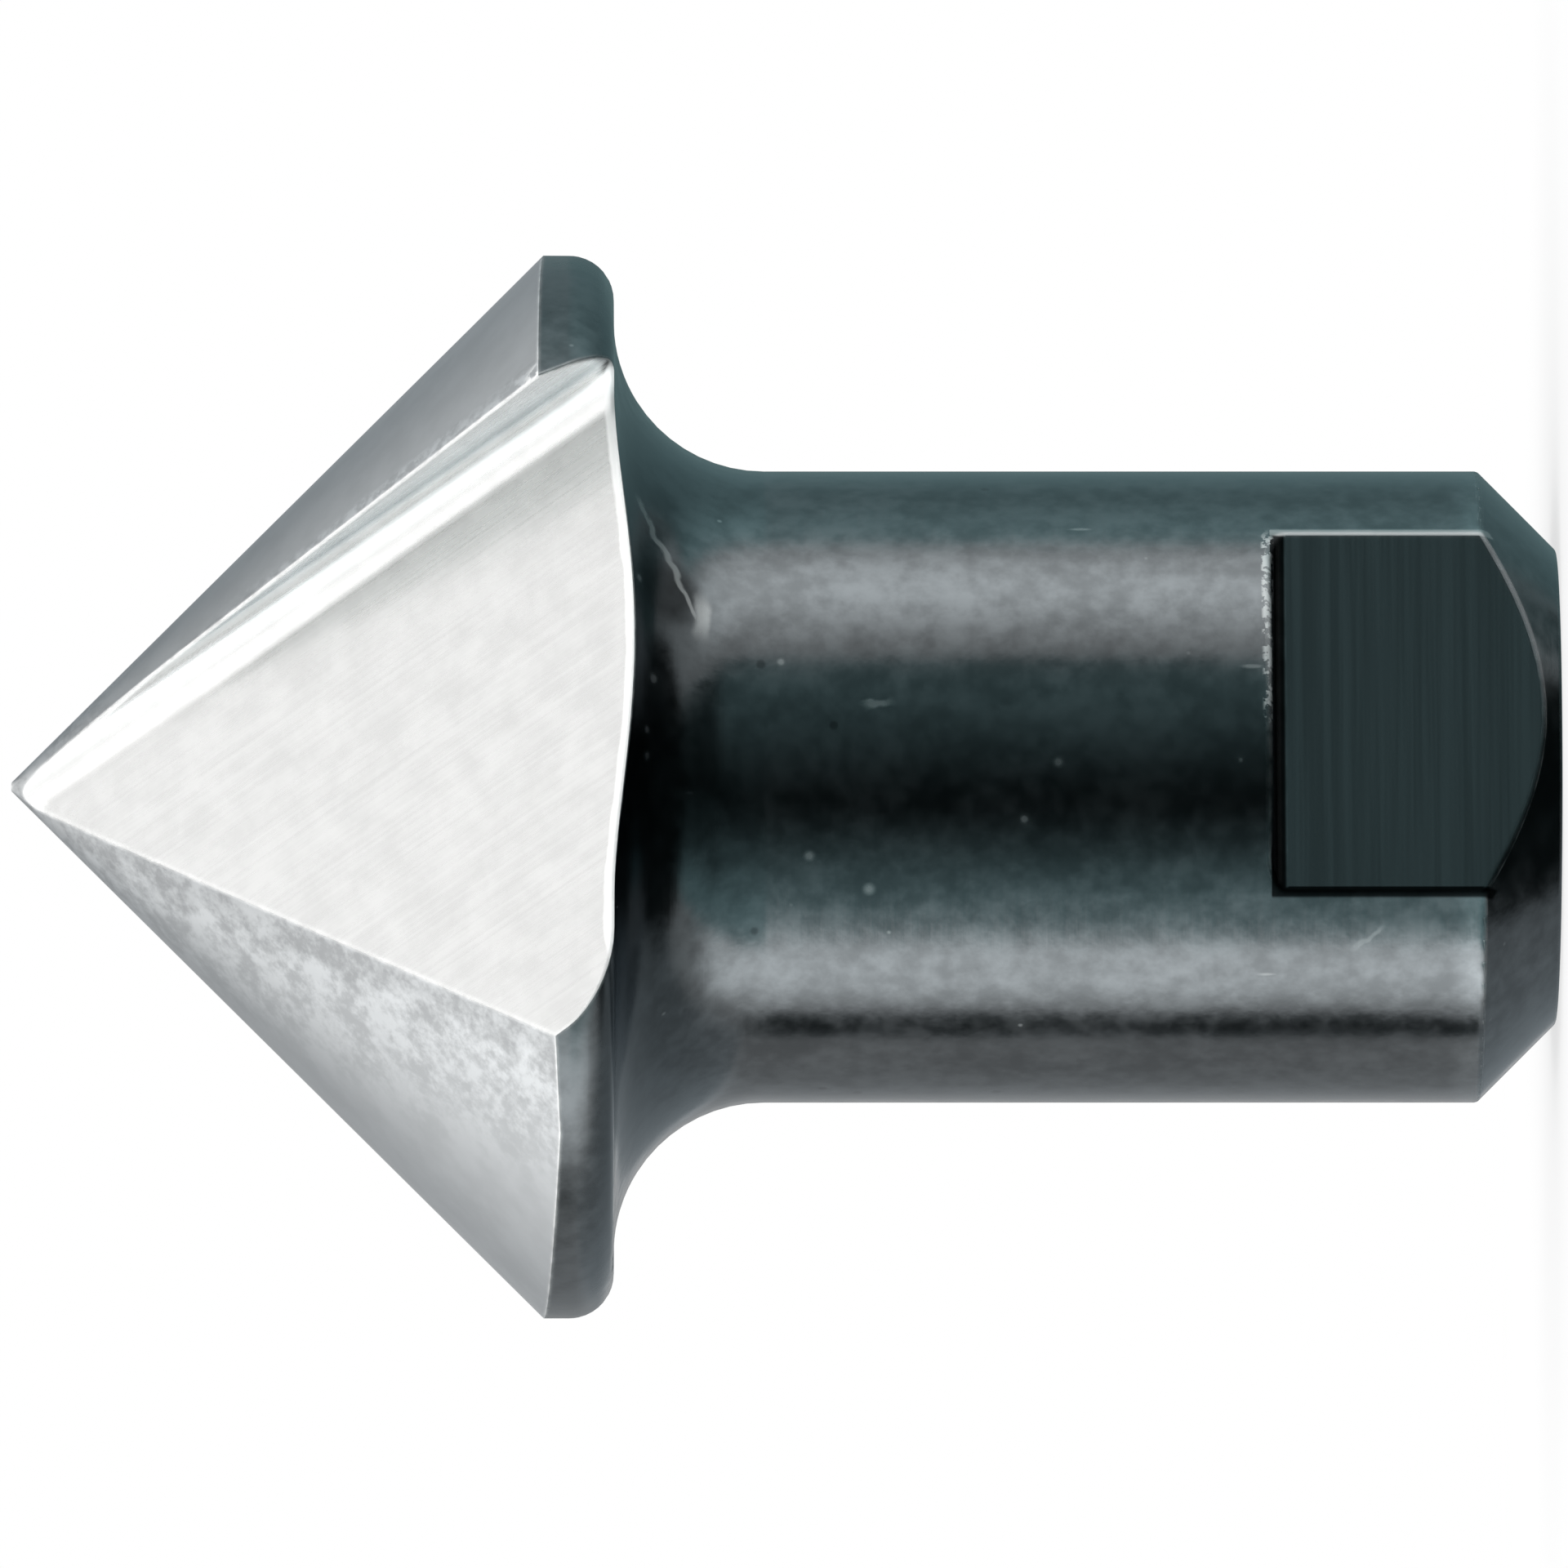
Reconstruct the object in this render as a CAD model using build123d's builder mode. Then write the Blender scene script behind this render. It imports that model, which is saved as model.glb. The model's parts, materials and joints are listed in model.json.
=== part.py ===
from build123d import *

import os
from math import acos, atan2, cos, hypot, radians, sin, sqrt, tan

# Two-flute 90 degree countersink with a short round shank that has one clamping flat.
# It is a single piece of turned and ground tool steel. Z is the tool's axis, the origin is the middle of
# the shank's end, which it stands on, and the clamping flat faces -Y. All sizes are in millimetres.

# Turned blank
overall_length = 29.35
shank_diameter = 12.0
shank_length = 17.9
end_chamfer = 1.5
end_edge_radius = 0.15
head_diameter = 20.2
head_back_corner_radius = 0.85
back_ring_width = 0.4

# Clamping flat on the shank, open towards the shank's end
flat_depth = 1.15
flat_length = 5.5
flat_root_radius = 0.3
flat_edge_radius = 0.12

# Ground point
point_angle = 90.0
tip_diameter = 0.16
relief_angle = 1.15

# Flutes, each a straight V groove from the tip out through the head's rim
flute_count = 2
flute_lean = 38.6
flute_heading = 42.4
flute_wall_angle = 47.7
flute_angle = 72.5
flute_root_radius = 0.6
tip_web = 0.56

shank_radius = shank_diameter / 2
head_radius = head_diameter / 2
neck_radius = head_radius - shank_radius - head_back_corner_radius - back_ring_width
point_half_angle = point_angle / 2
cone_height = head_radius / tan(radians(point_half_angle))
apex_height = overall_length + tip_diameter / 2 / tan(radians(point_half_angle))
apex = Vector(0, 0, apex_height)

# The flute's section is drawn in a plane through the cone's ideal apex: its normal runs down the groove
# and its X axis points outwards. The heading is counted from the flat.
heading = radians(flute_heading - 90)
lean = radians(flute_lean)
flute_outward = Vector(cos(lean) * cos(heading), cos(lean) * sin(heading), sin(lean))
flute_run = Vector(sin(lean) * cos(heading), sin(lean) * sin(heading), -cos(lean))
flute_plane = Plane(origin=apex, x_dir=flute_outward, z_dir=flute_run)

# The cutting wall's plane goes through the apex. The sharp root of the V lies on it, as far from the apex
# as leaves the web between the two rounded roots.
wall = radians(flute_wall_angle)
apex_to_arc_centre = sqrt((flute_root_radius + tip_web / 2) ** 2 - flute_root_radius**2)
root_offset = apex_to_arc_centre - flute_root_radius / tan(radians(flute_angle / 2))
flute_root = Vector(root_offset * cos(wall), root_offset * sin(wall))
flute_reach = overall_length

# The cutting wall meets the rim of the cone at the cutting corner. Its bearing from the flute's heading
# solves: across * cos(turn) + along * sin(turn) = level
across = sin(wall) * cos(lean)
along = cos(wall)
level = sin(wall) * sin(lean) * cone_height / head_radius
corner_turn = atan2(along, across) - acos(level / hypot(along, across))
corner = heading + corner_turn

# Each tooth's cone leans towards its own cutting edge, so that it has the full point angle at the edge
# and falls away behind it.
relief = radians(relief_angle)
tooth_up = Vector(-sin(relief) * cos(corner), -sin(relief) * sin(corner), cos(relief))
tooth_plane = Plane(origin=apex, z_dir=tooth_up)
tooth_reach = 2 * overall_length

with BuildPart(tooth_plane) as tooth_cone:
    Cone(
        bottom_radius=tooth_reach * tan(radians(point_half_angle - relief_angle)),
        top_radius=0,
        height=tooth_reach,
        align=(Align.CENTER, Align.CENTER, Align.MAX),
    )

with BuildPart() as relieved_point:
    with PolarLocations(0, flute_count):
        add(tooth_cone.part)

with BuildPart() as flute:
    with BuildSketch(flute_plane) as flute_section:
        with BuildLine():
            cutting_wall = PolarLine(flute_root, flute_reach, flute_wall_angle)
            floor = PolarLine(flute_root, flute_reach, flute_wall_angle + flute_angle)
            Line(cutting_wall @ 1, floor @ 1)
        make_face()
        root_corner = flute_section.vertices().sort_by_distance(flute_root)[0]
        fillet(root_corner, flute_root_radius)
    extrude(amount=flute_reach)

with BuildPart() as countersink:
    # Blank of revolution: shank with its end chamfer, concave neck, and head with a rounded back corner
    with BuildSketch(Plane.XZ) as blank:
        with BuildLine():
            Polyline(
                (0, 0),
                (shank_radius, 0),
                (shank_radius, shank_length),
                (head_radius, shank_length),
                (head_radius, overall_length),
                (0, overall_length),
                close=True,
            )
        make_face()
        end_corner = blank.vertices().sort_by_distance((shank_radius, 0))[0]
        chamfer(end_corner, end_chamfer)
        end_edges = blank.vertices().sort_by_distance((shank_radius, 0))[:2]
        fillet(end_edges, end_edge_radius)
        neck_corner = blank.vertices().sort_by_distance((shank_radius, shank_length))[0]
        fillet(neck_corner, neck_radius)
        back_corner = blank.vertices().sort_by_distance((head_radius, shank_length))[0]
        fillet(back_corner, head_back_corner_radius)
    revolve(axis=Axis.Z)

    # Relieved cone of the two teeth, then the flutes
    add(relieved_point.part, mode=Mode.INTERSECT)
    with PolarLocations(0, flute_count):
        add(flute.part, mode=Mode.SUBTRACT)

    # Clamping flat with a square step at its inner end
    flat_distance = shank_radius - flat_depth
    with BuildSketch(Plane.YZ) as flat:
        with BuildLine():
            Polyline(
                (-flat_distance, 0),
                (-flat_distance, flat_length),
                (-shank_diameter, flat_length),
                (-shank_diameter, 0),
                close=True,
            )
        make_face()
        step_corner = flat.vertices().sort_by_distance((-flat_distance, flat_length))[0]
        fillet(step_corner, flat_root_radius)
    extrude(amount=shank_radius, both=True, mode=Mode.SUBTRACT)
    floor_face = countersink.faces().sort_by_distance((0, -flat_distance, flat_length / 2))[0]
    flat_rim = floor_face.edges().filter_by(Axis.X, reverse=True)
    fillet(flat_rim, flat_edge_radius)

countersink.part.label = "countersink"
os.makedirs("parts", exist_ok=True)
export_step(countersink.part, "parts/countersink.step")
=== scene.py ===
import json
from math import cos, pi, radians, sin

import bpy
from bpy.props import FloatProperty, FloatVectorProperty, PointerProperty
from mathutils import Matrix, Vector


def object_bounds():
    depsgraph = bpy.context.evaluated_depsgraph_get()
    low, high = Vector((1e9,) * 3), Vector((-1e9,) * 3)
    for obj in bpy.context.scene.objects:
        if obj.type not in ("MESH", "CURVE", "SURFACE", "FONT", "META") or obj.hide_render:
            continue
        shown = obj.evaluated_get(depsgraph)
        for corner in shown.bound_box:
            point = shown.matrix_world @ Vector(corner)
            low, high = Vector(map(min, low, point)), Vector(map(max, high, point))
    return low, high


# Looks of a two-flute countersink that stands on its shank end, point up. Lengths are in metres, in the
# frame's own axes: Z is the tool's axis, the floor is Z = 0, and the clamping flat faces -Y.

bl_info = {
    "name": "Countersink looks",
    "version": (1, 0, 0),
    "blender": (4, 5, 0),
    "location": "3D View > Sidebar > Countersink",
    "description": "Ground and blackened finishes of a countersink, and a pale studio to show it in",
    "category": "Object",
}

MM = 0.001
NODE = "countersink"

# What the photograph shows once: the direction that it sees the tool from, the ends of three scratches and of
# a painted highlight streak, the middle of a patch of painted shade, the chips along the flat's step, and the
# place and width of each nick. The lengths are in millimetres.
SEEN_FROM = Vector((-0.291, -0.957, 0))
NECK_SCRATCH = (3.83, -6.25, 17.46), (1.35, -6.10, 16.35)
NECK_PAINTED_HIGHLIGHT = (2.05, -5.93, 16.26), (0.95, -6.19, 16.25)
SHORT_SCRATCH = (-0.22, -6.0, 13.25), (-0.18, -6.0, 12.65)
FAINT_SCRATCH = (-4.45, -4.02, 3.95), (-4.08, -4.40, 3.40)
NECK_SHADE = (1.91, -6.42, 16.92)
STEP_CHIPS = (2.8, -5.3, 5.53), (1.5, -5.8, 5.53), (0.3, -6.0, 5.53)
NICKS = (
    ((0.65, -5.96, 14.76), 0.18),
    ((-1.29, -5.86, 9.54), 0.24),
    ((-2.31, -5.54, 10.18), 0.20),
    ((-2.94, -5.23, 14.23), 0.24),
    ((-3.49, -4.88, 13.10), 0.28),
    ((0.02, -6.94, 17.16), 0.26),
    ((-1.00, -7.01, 17.29), 0.22),
    ((-1.49, -6.93, 17.29), 0.26),
    ((1.99, -7.00, 17.43), 0.20),
)

# Shared by all finishes: bare rubbed steel is dull, and steel turns a little bluer at a glancing angle
RUBBED_ROUGHNESS = 0.5
GLANCING_TINT = (0.93, 0.97, 1.0, 1)
# A Map Range node with this setting takes a value from its limits 1 and 2 to 3 and 4, which are 0 and 1 unless
# they are given, and eases in and out
SMOOTH = {"interpolation_type": "SMOOTHSTEP"}

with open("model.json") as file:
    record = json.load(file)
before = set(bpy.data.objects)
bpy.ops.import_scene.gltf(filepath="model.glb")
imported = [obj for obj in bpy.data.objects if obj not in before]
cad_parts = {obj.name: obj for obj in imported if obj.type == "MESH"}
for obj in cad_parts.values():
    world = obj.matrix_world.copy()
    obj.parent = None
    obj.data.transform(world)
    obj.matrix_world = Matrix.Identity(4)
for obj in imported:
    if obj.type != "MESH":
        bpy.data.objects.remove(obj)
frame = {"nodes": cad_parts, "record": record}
cad_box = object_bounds()
mounts = {mount["name"]: mount for mount in frame["record"]["mounts"]}


def linear(hex_colour):
    """Linear RGB of an sRGB hex colour."""
    parts = [int(hex_colour[i:i + 2], 16) / 255 for i in (1, 3, 5)]
    return tuple(c / 12.92 if c <= 0.04045 else ((c + 0.055) / 1.055) ** 2.4 for c in parts)


def length(name, description, size):
    """A length that shows in the sidebar, with its default given in millimetres."""
    return FloatProperty(name=name, description=description, default=size * MM, min=0, unit="LENGTH", precision=6)


def angle(name, description, degrees):
    """An angle that shows in the sidebar, with its default given in degrees."""
    return FloatProperty(name=name, description=description, default=radians(degrees), subtype="ANGLE")


def colour(name, description, hex_colour):
    """A colour that shows in the sidebar, with its default given as an sRGB hex value."""
    return FloatVectorProperty(
        name=name, description=description, default=linear(hex_colour), size=3, subtype="COLOR", min=0, max=1
    )


def brightness(name, description, value):
    """The radiance of a lamp or card, where 1 is white."""
    return FloatProperty(name=name, description=description, default=value, min=0)


class FinishSettings(bpy.types.PropertyGroup):
    """Sizes and colours of the tool's surfaces."""

    flute_lean: angle("Flute lean", "Angle between a flute's run and the tool's axis", 38.6)
    flute_heading: angle("Flute heading", "Bearing of the near flute's run from +X, seen from above", -47.6)
    corner_bearing: angle("Cutting corner", "Bearing of the near cutting corner from +X, seen from above", -56.9)
    head_radius: length("Head radius", "Radius of the head at its rim", 10.1)
    tip_flat: length("Tip flat", "Width of the tip's end", 0.16)
    neck_start: length("Neck start", "Height at which the shank widens into the neck", 15.05)
    neck_radius: length("Neck radius", "Radius of the neck's concave profile", 2.85)
    neck_centre: length("Neck centre", "Distance from the axis to the middle of the neck's profile", 8.85)
    chamfer_end: length("Chamfer end", "Height at which the end chamfer meets the shank", 1.5)
    flat_end: length("Flat end", "Height of the step at the clamping flat's inner end", 5.5)
    flat_half: length("Flat's half width", "Distance from the flat's middle to its long edges", 3.53)
    edge_round: length("Edge rounding", "Rounding that catches the light along the blackened edges", 0.12)
    ground_edge: length("Ground edge", "Width of the bright line along the edges of the ground faces", 0.17)
    oxide: colour("Black oxide", "Reflection of the blackened skin", "#5a5e60")
    # Painted shade: the darker skin colour of the neck under the head
    oxide_in_painted_shade: colour("Black oxide in the neck", "Reflection of the skin where nothing rubs it", "#44494b")
    rubbed: colour("Rubbed steel", "Reflection of edges and nicks where the skin has gone", "#a9adad")
    flute: colour("Ground flute", "Reflection of the flutes, the last surfaces to be ground", "#cbcbca")
    cone: colour("Ground cone", "Reflection of the relief-ground cone", "#abadae")
    # Painted highlight: the colour of the ground faces along their edges, also of the rubbed flakes at the cutting
    # corners
    edge_highlight_and_wear: colour("Bright edge", "Reflection of a ground face along its worn edges", "#f4f4f3")
    turning_pitch: length("Turning pitch", "Spacing of the rings left by turning", 0.12)
    milling_pitch: length("Milling pitch", "Spacing of the lines that cross the clamping flat", 0.14)
    patch_size: length("Patch size", "Size of the cloudy patches in the black skin", 0.42)
    streak_pitch: length("Streak pitch", "Spacing of the grinding streaks", 0.10)
    heel_band: length("Heel band", "Width of the dull band of the cone beside a flute's floor", 0.55)


class StageSettings(bpy.types.PropertyGroup):
    """The camera and the studio round the tool."""

    view_azimuth: angle("View azimuth", "Side that the camera stands on, counted from -Y", -16.9)
    camera_distance: length("Camera distance", "Distance from the camera to the tool's axis", 600)
    camera_height: length("Camera height", "Height of the camera over the floor", 18.70)
    aim_height: length("Aim height", "Height on the tool of the picture's middle", 14.664)
    aim_side: length("Aim side", "Distance from the tool's axis to the picture's middle", 0.047)
    frame_width: length("Frame width", "Width of the picture at the tool's axis", 29.806)
    floor_radius: length("Floor radius", "Radius of the pale floor", 120)
    floor: colour("Floor", "Colour of the pale floor", "#f3f3f3")
    soft_fill: brightness("Soft fill", "Light that dull surfaces get from all round", 0.4)
    overhead: brightness("Overhead lamp", "Brightness of the lamp over the point", 1.55)
    front: brightness("Front lamp", "Brightness of the lamp over the camera", 1.65)
    flank: brightness("Flank lamp", "Brightness of the tall lamp on the +X side", 2.9)
    far_flank: brightness("Far flank lamp", "Brightness of the tall lamp on the -X side", 3.1)
    dim: brightness("Dark card", "Brightness of the dark card round the camera, at its middle", 0.02)
    dark: colour("Dark card's colour", "Colour of the cards that are meant to look dark", "#d0fcff")
    grey: colour("Grey card's colour", "Colour of the cards behind the tool", "#f3fbff")


def add(tree, kind, inputs=None, **settings):
    """Adds a node, sets its properties, and feeds its inputs with values or with other nodes' first output."""
    made = tree.nodes.new(kind)
    for name, value in settings.items():
        setattr(made, name, value)
    for key, value in (inputs or {}).items():
        named = [s for s in made.inputs if s.enabled and s.name == key]
        socket = made.inputs[key] if isinstance(key, int) else named[0]
        if isinstance(value, bpy.types.Node):
            value = [s for s in value.outputs if s.enabled][0]
        if isinstance(value, bpy.types.NodeSocket):
            tree.links.new(value, socket)
        else:
            socket.default_value = value
    return made


def new_material(name):
    """A material with an empty node tree."""
    material = bpy.data.materials.new(name)
    material.use_nodes = True
    material.node_tree.nodes.clear()
    return material, material.node_tree


def millimetres(tree):
    """The point on the tool in millimetres, so that a texture's scale is one over a real size."""
    place = add(tree, "ShaderNodeTexCoord").outputs["Object"]
    return add(tree, "ShaderNodeVectorMath", {"Vector": place, "Scale": 1 / MM}, operation="SCALE")


def from_axis(tree, point):
    """How far a point on the tool lies from the tool's axis."""
    across = add(tree, "ShaderNodeVectorMath", {0: point, 1: (1, 1, 0)}, operation="MULTIPLY")
    return add(tree, "ShaderNodeVectorMath", {"Vector": across}, operation="LENGTH")


def rounded_edges(tree, width, point):
    """Normals rounded over the edges, and a mask along each edge from 0 to 1: rubbed wear on the black skin,
    painted highlight on the ground faces and painted shade on the clamping flat.
    """
    rounded = add(tree, "ShaderNodeBevel", {"Radius": width}, samples=4)
    true_normal = add(tree, "ShaderNodeNewGeometry").outputs["Normal"]
    agreement = add(tree, "ShaderNodeVectorMath", {0: rounded, 1: true_normal}, operation="DOT_PRODUCT")
    bend = add(tree, "ShaderNodeMapRange", {0: agreement, 1: 0.998, 2: 0.94}, **SMOOTH)
    ragged = add(tree, "ShaderNodeTexNoise", {"Vector": point, "Scale": 3.0, "Detail": 3.0})
    uneven = add(tree, "ShaderNodeMapRange", {0: ragged, 1: 0.35, 2: 0.65, 3: 0.45}, **SMOOTH)
    worn_lit_or_shaded = add(tree, "ShaderNodeMath", {0: bend, 1: uneven}, operation="MULTIPLY")
    return rounded, worn_lit_or_shaded


def either(tree, marks):
    """The strongest of several marks."""
    strongest = marks[0]
    for mark in marks[1:]:
        strongest = add(tree, "ShaderNodeMath", {0: strongest, 1: mark}, operation="MAXIMUM")
    return strongest


def scratch(tree, point, ends, width, waver=1.5, fade=0.3):
    """A scratch between two places on the seen side, in millimetres, from 0 to 1. It wavers by a few times its
    width and fades out at its ends."""
    start, end = Vector(ends[0]), Vector(ends[1])
    along = (end - start).normalized()
    across = along.cross(SEEN_FROM).normalized()
    shift = add(tree, "ShaderNodeVectorMath", {0: point, 1: start}, operation="SUBTRACT")
    wave = add(tree, "ShaderNodeTexNoise", {"Vector": point, "Scale": 1.4, "Detail": 2.0})
    wave = add(tree, "ShaderNodeMapRange", {0: wave, 1: 0.2, 2: 0.8, 3: -waver * width, 4: waver * width}, **SMOOTH)
    aside = add(tree, "ShaderNodeVectorMath", {0: shift, 1: across}, operation="DOT_PRODUCT")
    aside = add(tree, "ShaderNodeMath", {0: aside, 1: wave}, operation="ADD")
    aside = add(tree, "ShaderNodeMath", {0: aside}, operation="ABSOLUTE")
    run = add(tree, "ShaderNodeVectorMath", {0: shift, 1: along}, operation="DOT_PRODUCT")
    near = add(tree, "ShaderNodeVectorMath", {0: shift, 1: SEEN_FROM}, operation="DOT_PRODUCT")
    mark = add(tree, "ShaderNodeMapRange", {0: aside, 1: width, 2: 0.3 * width}, **SMOOTH)
    first, last = -0.1, (end - start).length + 0.1
    for value, low, high in ((run, first, first + fade), (run, last, last - fade), (near, -2.5, -2.0)):
        limit = add(tree, "ShaderNodeMapRange", {0: value, 1: low, 2: high}, **SMOOTH)
        mark = add(tree, "ShaderNodeMath", {0: mark, 1: limit}, operation="MULTIPLY")
    return mark


def spots(tree, point, places):
    """Single small marks, each given by its place and its width in millimetres, from 0 to 1."""
    marks = []
    for place, width in places:
        gap = add(tree, "ShaderNodeVectorMath", {0: point, 1: place}, operation="DISTANCE")
        marks.append(add(tree, "ShaderNodeMapRange", {0: gap, 1: 0.6 * width, 2: 0.1 * width}, **SMOOTH))
    return either(tree, marks)


def speckled_near(tree, point, places, reach, grain):
    """Small bright flakes round some places, which are given in millimetres, from 0 to 1."""
    near = []
    for place in places:
        gap = add(tree, "ShaderNodeVectorMath", {0: point, 1: place}, operation="DISTANCE")
        near.append(add(tree, "ShaderNodeMapRange", {0: gap, 1: reach, 2: 0.4 * reach}, **SMOOTH))
    flakes = add(tree, "ShaderNodeTexNoise", {"Vector": point, "Scale": grain, "Detail": 2.0, "Roughness": 0.7})
    flakes = add(tree, "ShaderNodeMapRange", {0: flakes, 1: 0.47, 2: 0.55}, **SMOOTH)
    return add(tree, "ShaderNodeMath", {0: either(tree, near), 1: flakes}, operation="MULTIPLY")


def single_marks(tree, point, height, settings):
    """The marks that are there once, from 0 to 1: the scratches, a painted highlight streak in the neck, the nicks
    and the chipped edge of the flat's step."""
    clear = (
        scratch(tree, point, NECK_SCRATCH, 0.06),
        scratch(tree, point, SHORT_SCRATCH, 0.10),
        spots(tree, point, NICKS),
    )
    painted_neck_highlight = scratch(tree, point, NECK_PAINTED_HIGHLIGHT, 0.23, waver=0.4, fade=0.65)
    faint = scratch(tree, point, FAINT_SCRATCH, 0.08)
    marks = []
    for mark, strength in ((either(tree, clear), 0.38), (painted_neck_highlight, 0.45), (faint, 0.15)):
        marks.append(add(tree, "ShaderNodeMath", {0: mark, 1: strength}, operation="MULTIPLY"))
    from_step = add(tree, "ShaderNodeMath", {0: height, 1: settings.flat_end / MM + 0.07}, operation="SUBTRACT")
    from_step = add(tree, "ShaderNodeMath", {0: from_step}, operation="ABSOLUTE")
    at_step = add(tree, "ShaderNodeMapRange", {0: from_step, 1: 0.14, 2: 0.06}, **SMOOTH)
    chipped = speckled_near(tree, point, STEP_CHIPS, 1.1, 5.0)
    marks.append(add(tree, "ShaderNodeMath", {0: chipped, 1: at_step}, operation="MULTIPLY"))
    return either(tree, marks)


def flat_outline(tree, point, settings):
    """Lines along the clamping flat, from 0 to 1: painted shade along the step and the -X edge, and a painted
    highlight in the rubbed steel colour along the +X edge."""
    split = add(tree, "ShaderNodeSeparateXYZ", {"Vector": point})
    end, half = settings.flat_end / MM, settings.flat_half / MM
    level = -mounts["clamping_flat"]["pos_m"][1] / MM
    low = add(tree, "ShaderNodeMapRange", {0: split.outputs["Y"], 1: -level - 0.42, 2: -level - 0.36}, **SMOOTH)
    front = add(tree, "ShaderNodeMapRange", {0: split.outputs["Y"], 1: -level + 0.3, 2: -level + 0.2}, **SMOOTH)
    below_step = add(tree, "ShaderNodeMapRange", {0: split.outputs["Z"], 1: end + 0.03, 2: end}, **SMOOTH)
    near_flat = add(tree, "ShaderNodeMath", {0: low, 1: front}, operation="MULTIPLY")
    near_flat = add(tree, "ShaderNodeMath", {0: near_flat, 1: below_step}, operation="MULTIPLY")
    step = add(tree, "ShaderNodeMapRange", {0: split.outputs["Z"], 1: end - 0.30, 2: end - 0.22}, **SMOOTH)
    aside = add(tree, "ShaderNodeMath", {0: split.outputs["X"]}, operation="ABSOLUTE")
    between = add(tree, "ShaderNodeMapRange", {0: aside, 1: half + 0.05, 2: half}, **SMOOTH)
    step = add(tree, "ShaderNodeMath", {0: step, 1: between}, operation="MULTIPLY")
    lines = []
    for place, width in ((-half, 0.13), (half + 0.03, 0.11)):
        gap = add(tree, "ShaderNodeMath", {0: split.outputs["X"], 1: place}, operation="SUBTRACT")
        gap = add(tree, "ShaderNodeMath", {0: gap}, operation="ABSOLUTE")
        lines.append(add(tree, "ShaderNodeMapRange", {0: gap, 1: width, 2: 0.4 * width}, **SMOOTH))
    dark = add(tree, "ShaderNodeMath", {0: either(tree, (step, lines[0])), 1: near_flat}, operation="MULTIPLY")
    light = add(tree, "ShaderNodeMath", {0: lines[1], 1: near_flat}, operation="MULTIPLY")
    light = add(tree, "ShaderNodeMath", {0: light, 1: 0.55}, operation="MULTIPLY")
    return dark, light


def beside(tree, point, sides):
    """Distance in millimetres from the nearest of some flat sides of the flutes. It counts only where the surface
    runs on from the side's outer edge, not behind the flute's root."""
    nearest = 100.0
    for normal, offset, outward, start in sides:
        along = add(tree, "ShaderNodeVectorMath", {0: point, 1: normal}, operation="DOT_PRODUCT")
        gap = add(tree, "ShaderNodeMath", {0: along, 1: offset}, operation="SUBTRACT")
        gap = add(tree, "ShaderNodeMath", {0: gap}, operation="ABSOLUTE")
        reach = add(tree, "ShaderNodeVectorMath", {0: point, 1: outward}, operation="DOT_PRODUCT")
        behind = add(tree, "ShaderNodeMapRange", {0: reach, 1: start + 0.1, 2: start, 4: 50.0}, **SMOOTH)
        gap = add(tree, "ShaderNodeMath", {0: gap, 1: behind}, operation="ADD")
        nearest = add(tree, "ShaderNodeMath", {0: gap, 1: nearest}, operation="MINIMUM")
    return nearest


def scattered_marks(tree, point, cell, share, reach):
    """Small marks, one in a share of the cells whose sizes in millimetres are given, from 0 to 1."""
    stretch = tuple(1 / size for size in cell)
    placed = add(tree, "ShaderNodeVectorMath", {0: point, 1: stretch}, operation="MULTIPLY")
    cells = add(tree, "ShaderNodeTexVoronoi", {"Vector": placed, "Scale": 1.0})
    chance = add(tree, "ShaderNodeSeparateColor", {"Color": cells.outputs["Color"]}).outputs["Red"]
    chosen = add(tree, "ShaderNodeMath", {0: chance, 1: share}, operation="LESS_THAN")
    spot = add(tree, "ShaderNodeMapRange", {0: cells.outputs["Distance"], 1: reach, 2: 0.3 * reach}, **SMOOTH)
    return add(tree, "ShaderNodeMath", {0: spot, 1: chosen}, operation="MULTIPLY")


def finish(tree, colour_in, roughness, rubbed, normal):
    """Metal shader and output. Rubbed places spread the light more, so that they look pale from every side."""
    spread = {"Factor": rubbed, "A": roughness, "B": RUBBED_ROUGHNESS}
    roughness = add(tree, "ShaderNodeMix", spread, data_type="FLOAT")
    inputs = {"Base Color": colour_in, "Metallic": 1.0, "Roughness": roughness, "Normal": normal}
    shader = add(tree, "ShaderNodeBsdfPrincipled", {**inputs, "Specular Tint": GLANCING_TINT})
    add(tree, "ShaderNodeOutputMaterial", {"Surface": shader})


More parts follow.
